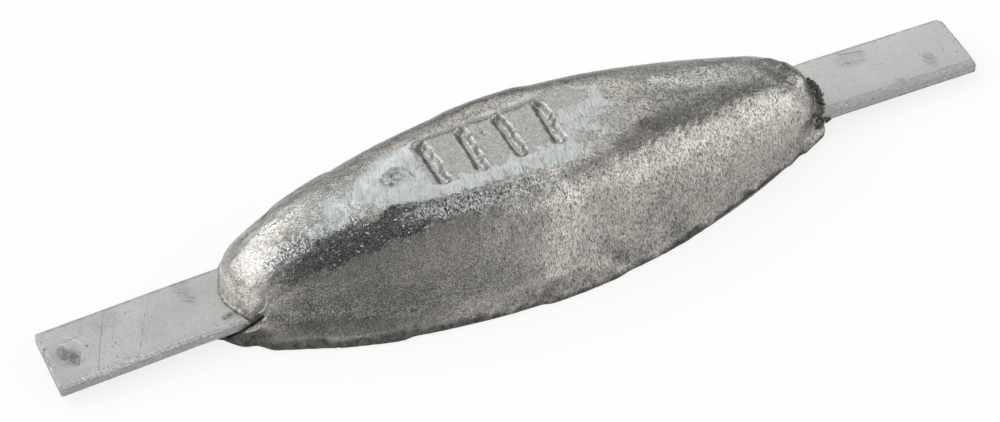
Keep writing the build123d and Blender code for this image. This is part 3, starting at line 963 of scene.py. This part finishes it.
    gloss = bright.level(grain.span(0.3, 0.7).level(0.38, 0.22), 0.33)
    gloss = dark.level(filed_away.level(gloss, 0.38), 0.72)
    sharp = even.max(band) * (1.0 - filed_away * 0.9)
    crinkles = mm.noise(1.5, 3.0, 0.6, 1.2, 13.0) * porous.max(band * 0.3)
    bumps = stack_bumps((crinkles, 0.9), (dashes * wrinkled, 0.4), (pebble * sharp, 0.10),
                        (pitted * (sharp * -1.0), 0.05), (grain * (sharp * (band * 1.2 + 1.0)), 0.14),
                        (streaks * filed_away, 0.010))
    work.end({"Base Color": skin, "Roughness": gloss, "Metallic": dark.level(1.0, 0.25),
              "Specular IOR Level": 0.15, "Normal": bumps})
    return finish


# on the strap's top: scratches as their ends and half-width, and specks as a centre and radius
SCRATCHES = [
    ((-176.6, 14.6), (-183, 1.3), 0.19), ((-183, 1.3), (-188.9, -12.6), 0.16),
    ((-162.7, 6), (-167.3, -3.5), 0.16), ((-167.3, -3.5), (-173.6, -15), 0.19),
    ((-186, 14.3), (-189, 8.1), 0.12), ((-159, 12.1), (-162.6, 3.6), 0.11),
    ((-204.2, 7), (-197.9, 6.2), 0.15), ((-197.9, 6.2), (-188.6, 6.8), 0.13),
    ((-174.2, 9.2), (-179, -1.5), 0.09), ((154.0, 12.7), (164.3, 10.9), 0.3),
    ((152.5, 7.4), (163.1, 5.5), 0.3), ((164.6, 1.7), (168.9, 0.3), 0.2), ((185.6, -1.5), (189, -5.5), 0.25),
]
# short pale scratches around the dent at the left end
PALE_SCRATCHES = [
    ((-196.8, 9.4), (-193.4, 7.3)), ((-193.4, 7.3), (-191.2, 4.6)), ((-191.2, 4.6), (-190.2, 0.7)),
    ((-198.5, 6.5), (-196, 4.5)), ((-192.2, -4.0), (-195.2, -8.6)), ((-189.5, 5.5), (-187, 3)),
]
DOTS = [(-180.1, -9.8, 0.5), (-188.9, 0.5, 0.8), (-204.4, 6.1, 0.7), (196.4, -2, 0.5), (201.4, -5.7, 0.45),
        (-135.8, -10.6, 0.9), (-134.4, -10.8, 0.5), (160, 6, 0.4), (176, 8, 0.35)]
# darker smears: centre, half-size along and across, strength
SMEARS = [
    ((-195.2, -3.4), (2.6, 4.4), 1.0), ((-198.6, 1.6), (2.2, 3.4), 0.75), ((-196.9, -1.0), (2.6, 4.0), 0.9),
    ((-198, -1), (6, 6), 0.4), ((-132.8, -9.8), (3.6, 1.6), 1.0), ((157, 9), (8, 5), 0.3),
    ((188, -5), (3.2, 4.5), 0.5), ((-145.2, 8.5), (3.5, 7), 0.25), ((-178, 9), (7, 5), 0.25),
    ((-163, -3), (6, 8), 0.2), ((170, -12), (3, 3), 0.3),
]


def galvanised_steel():
    """Matt zinc coat, pale and a little green, with scratches, smears, rough edges, small specks, and painted
    shade on its sides and along its edges.
    """
    finish, work, mm = new_finish("galvanised_steel")
    x, y, z = mm.axes()
    plan = work.place(x, y)
    ragged = (mm.noise(1.8, 3.0, 0.6, 0.0, 7.0) - 0.5) * 0.7
    broad = mm.noise(26, 3.0, 0.5, 0.0, 10.0)
    fine = mm.times(0.6, 1.0, 1.0).noise(0.8, 3.0, 0.65, 0.0, 11.0)
    speckle = mm.noise(0.9, 3.0, 0.7, 0.0, 16.0)
    streaky = mm.times(1.0, 0.5, 1.0).noise(2.2, 4.0, 0.7, 1.5, 22.0)
    broken = mm.noise(3.2, 3.0, 0.7, 0.0, 8.0).span(0.40, 0.56)

    # depth below the top face, which is set down past both bends, and distance in from the edges
    droop = ((-LEFT_BEND_X - x).max(0.0) * tan(radians(LEFT_DROOP))
             + (x - RIGHT_BEND_X).max(0.0) * tan(radians(RIGHT_DROOP)))
    depth = (STRAP_TOP - (z + droop)).max(0.0)
    from_near, from_far = y + STRAP_WIDTH / 2, STRAP_WIDTH / 2 - y
    from_corner = from_near + depth
    from_end = STRAP_LENGTH / 2 - abs(x) + depth
    right_part = x.span(96.0, 122.0)
    left_part = 1.0 - right_part

    def elliptic(centre, scale):
        """Distance from a centre on the plan, counted in half-sizes."""
        return plan.vector("SUBTRACT", (*centre, 0.0)).times(*scale, 0.0).vector("LENGTH")

    def smear(centre, half_size, strength):
        reach = elliptic(centre, [1 / size for size in half_size]) + (streaky - 0.5) * 2.6
        return reach.span(1.15, 0.6, 0.0, strength) * speckle.span(0.35, 0.6, 1.0, 0.4), (0.13, 0.137, 0.133)

    # the near edge is rolled over and rough on the right, darker and pocked there, and the sides below the
    # top carry painted shade
    rolled = (from_near + ragged).span(3.2, 2.9) * right_part
    side = depth.span(0.5, 1.1)
    pocks = speckle.span(0.40, 0.62)
    worn_edge = (from_corner.min(from_end + 0.7) + ragged).span(2.6, 1.2) * left_part
    coat = broad.span(0.3, 0.7).blend((0.48, 0.495, 0.475), (0.57, 0.585, 0.565)).coats(
        (fine.span(0.3, 0.7, 0.0, 0.25), (0.36, 0.37, 0.36)),
        (x.span(100.0, 140.0, 0.0, 0.35), (0.68, 0.695, 0.67)),
        (x.span(-168.0, -186.0, 0.0, 0.12), (0.40, 0.41, 0.44)),
        *(smear(*spot) for spot in SMEARS),
        (streaky.span(0.56, 0.70, 0.0, 0.35), (0.34, 0.35, 0.345)),
        (streaky.span(0.42, 0.30, 0.0, 0.35), (0.74, 0.75, 0.73)),
        *((plan.stroke(path, 0.15, ragged * 0.6) * 0.5, (0.90, 0.91, 0.89)) for path in PALE_SCRATCHES),
        (rolled * pocks.level(0.2, 0.55), (0.32, 0.335, 0.325)),
        (side * pocks.level(0.15, 0.75), (0.20, 0.205, 0.197)),
        (worn_edge * (1.0 - side) * 0.25, (0.72, 0.73, 0.71)),
        # bright specks on the rolled edge and the worn left edge: partly bare worn zinc, partly painted
        # glints
        (speckle.span(0.57, 0.64) * (rolled * 0.8).max(worn_edge), (0.85, 0.86, 0.85)))

    def edge_line(distance, inset, half_width):
        """A ragged line this far in from an edge."""
        return abs(distance + ragged * 1.3 - inset).span(half_width * 1.4, half_width * 0.4)

    # dark ragged lines along the near, fold, far and end edges and at the foot of the near side: painted
    # shade along the edges, broken up
    near_line = edge_line(from_corner, 0.8, 0.26) * (left_part * 0.65)
    fold_line = edge_line(from_near, 3.1, 0.28) * right_part * 0.6
    far_line = edge_line(from_far + depth, 0.7, 0.32) * 0.7
    end_line = edge_line(from_end, 0.6, 0.3) * 0.7
    under_line = edge_line(depth, 4.2, 0.35) * right_part
    marks = near_line.max(fold_line).max(far_line).max(end_line).max(under_line) * (broken * 0.8 + 0.2)
    for start, end, half_width in SCRATCHES:
        marks = marks.max(plan.stroke((start, end), half_width, ragged * 0.5) * (broken * 0.65 + 0.2))
    # short slanting ticks beside the left nose
    ticks = mm.turned(0.55).times(0.22, 1.0, 1.0).noise(0.9, 1.0).span(0.54, 0.62)
    marks = marks.max(elliptic((-145.0, 8.0), (0.2, 0.12)).span(1.1, 0.6, 0.0, 0.45) * ticks)
    for dot_x, dot_y, radius in DOTS:
        away = plan.vector("DISTANCE", (dot_x, dot_y, 0.0)) + ragged
        marks = marks.max(away.span(radius, radius * 0.5))
    # specks crowd towards the near edge and the ends
    close = from_corner.min(from_end * 1.6).span(6.0, 0.5)
    crowding = close.level(broad.span(0.40, 0.60, 0.0, 0.035), 0.075)
    marks = marks.max((crowding - speckle).span(-0.355, -0.335) * 0.85)
    bumps = stack_bumps((mm.noise(5, 3.0, 0.5, 0.0, 12.0), 0.10), (fine, 0.03),
                        (speckle * rolled.max(side), 0.15), (marks * -1.0, 0.05))
    work.end({"Base Color": coat.coats((marks * 0.75, (0.13, 0.13, 0.125))), "Metallic": 0.55,
              "Roughness": fine.span(0.3, 0.7).level(0.44, 0.56), "Normal": bumps})
    return finish


def pale_floor():
    """White floor that keeps a soft part of the object's shadow; mirrored metal shows it white too."""
    finish, work, _ = new_finish("pale_floor")
    rays = work.fan("ShaderNodeLightPath")
    seen = rays.is_camera_ray.max(rays.is_glossy_ray).max(rays.is_transmission_ray)
    lit = work.add("ShaderNodeBsdfDiffuse", {"Color": (0.95, 0.95, 0.95, 1)})
    white = work.add("ShaderNodeEmission", {"Color": (1, 1, 1, 1), "Strength": 1.0})
    mixed = work.add("ShaderNodeMixShader", {0: seen * 0.80, 1: lit, 2: white})
    work.node("ShaderNodeOutputMaterial", {"Surface": mixed})
    return finish


# ======== pieces
def make_casting(finish):
    points, faces = casting_mesh()
    masks = roughen_casting(points, faces)
    piece = new_mesh_object("zinc_casting", points, faces)
    for name, values in masks.items():
        add_attribute(piece, name, values)
    piece = grow(piece, cast_skin_tree(), finish, pebble_size=3.2 * MM, pebble_height=0.09 * MM,
                 pit_spacing=9 * MM, pit_depth=0.45 * MM, seed=3.0)
    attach(piece, "root")
    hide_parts("anode_casting")
    return piece


CRUMB_LINE = [
    (133.2, 4.6, 11.3), (134.4, 2, 11.3), (135.0, -1.5, 11.4), (134.0, -5.5, 11.4), (131.6, -10, 11.4),
    (129.0, -13.6, 11.2), (128.4, -15.4, 9.8), (129.5, -15.9, 7.8), (132.2, -15.7, 7.0),
]


def make_collar_crumbs(finish):
    """The burnt crumbs where flash ran out over the strap at the right nose."""
    line = bpy.data.curves.new("collar_crumbs", "CURVE")
    line.dimensions = "3D"
    spline = line.splines.new("POLY")
    spline.points.add(len(CRUMB_LINE) - 1)
    for point, place in zip(spline.points, CRUMB_LINE):
        point.co = (*(value * MM for value in place), 1.0)
    piece = grow(add_object("collar_crumbs", line), crumbs_tree(), finish, spacing=0.22 * MM,
                 crumb_size=0.75 * MM, scatter=1.4 * MM, seed=5.0)
    add_attribute(piece, "dark", np.full(len(piece.data.vertices), 0.9))
    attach(piece, "root")
    return piece


def make_strap(finish):
    start = new_mesh_object("strap", [(0, 0, 0)], [])
    piece = grow(start, bar_tree(), finish, length=STRAP_LENGTH * MM, width=(STRAP_WIDTH + ROLLED_OUT) * MM,
                 thickness=STRAP_THICKNESS * MM, middle_height=(STRAP_TOP - STRAP_THICKNESS / 2) * MM,
                 edge_radius=STRAP_EDGE * MM, corner_radius=STRAP_CORNER * MM, clipped_corner=STRAP_CLIP * MM,
                 left_bend=LEFT_BEND_X * MM, left_droop=radians(LEFT_DROOP),
                 right_bend=RIGHT_BEND_X * MM, right_droop=radians(RIGHT_DROOP),
                 edge_wear=0.7 * MM, waviness=0.25 * MM)
    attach(piece, "root")
    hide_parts("steel_strap")
    return piece


# ======== camera, light and stage
def make_camera():
    data = bpy.data.cameras.new("camera")
    data.sensor_width = SENSOR
    data.lens = SENSOR * FOCAL_PIXELS / IMAGE_WIDTH
    data.shift_x = (IMAGE_WIDTH / 2 - OPTICAL_CENTRE[0]) / IMAGE_WIDTH
    data.shift_y = (OPTICAL_CENTRE[1] - IMAGE_HEIGHT / 2) / IMAGE_WIDTH
    data.clip_start, data.clip_end = 0.05, 20.0
    back = towards(CAMERA_AZIMUTH, CAMERA_ELEVATION)
    camera = add_object("camera", data)
    camera.location = (Vector(CAMERA_TARGET) + back * CAMERA_DISTANCE) * MM
    camera.rotation_euler = back.to_track_quat("Z", "Y").to_euler()
    bpy.context.scene.camera = camera


# soft sources of the studio: azimuth and elevation, inner and outer half-angle, strength
ROOM_LIGHT = 0.11
SOFT_SOURCES = [
    (-112, 46, 22, 50, 1.9),
    (-105, 4, 15, 55, 0.5),
    (62, 17, 22, 50, 1.45),
    (148, 40, 10, 30, 0.95),
    (180, 10, 20, 60, 0.35),
    (3, 28, 6, 32, 0.22),
    (-48, 18, 6, 22, 0.5),
]


def make_studio():
    """Soft sources in a dim room, as a world that depends on direction alone."""
    world = bpy.data.worlds.new("studio")
    bpy.context.scene.world = world
    world.use_nodes = True
    world.node_tree.nodes.clear()
    work = NodeWork(world.node_tree)
    direction = work.add("ShaderNodeTexCoord", output="Generated").vector("NORMALIZE")
    total = ROOM_LIGHT
    for azimuth, elevation, inner, outer, strength in SOFT_SOURCES:
        facing = direction.vector("DOT_PRODUCT", towards(azimuth, elevation))
        total = facing.span(cos(radians(outer)), cos(radians(inner)), 0.0, strength) + total
    light = work.add("ShaderNodeBackground", {"Color": (1, 1, 1, 1), "Strength": total})
    work.node("ShaderNodeOutputWorld", {"Surface": light})


FLOOR_HALF, FLOOR_HEIGHT = 3000.0, -0.15


def make_floor():
    signs = (-1, -1), (1, -1), (1, 1), (-1, 1)
    corners = [(x * FLOOR_HALF, y * FLOOR_HALF, FLOOR_HEIGHT) for x, y in signs]
    floor = new_mesh_object("floor", corners, [(0, 1, 2, 3)])
    floor.data.materials.append(pale_floor())


bpy.context.scene.view_settings.view_transform = "Standard"
make_camera()
make_studio()
make_floor()
zinc, steel = cast_zinc(), galvanised_steel()
make_casting(zinc)
make_collar_crumbs(zinc)
make_strap(steel)
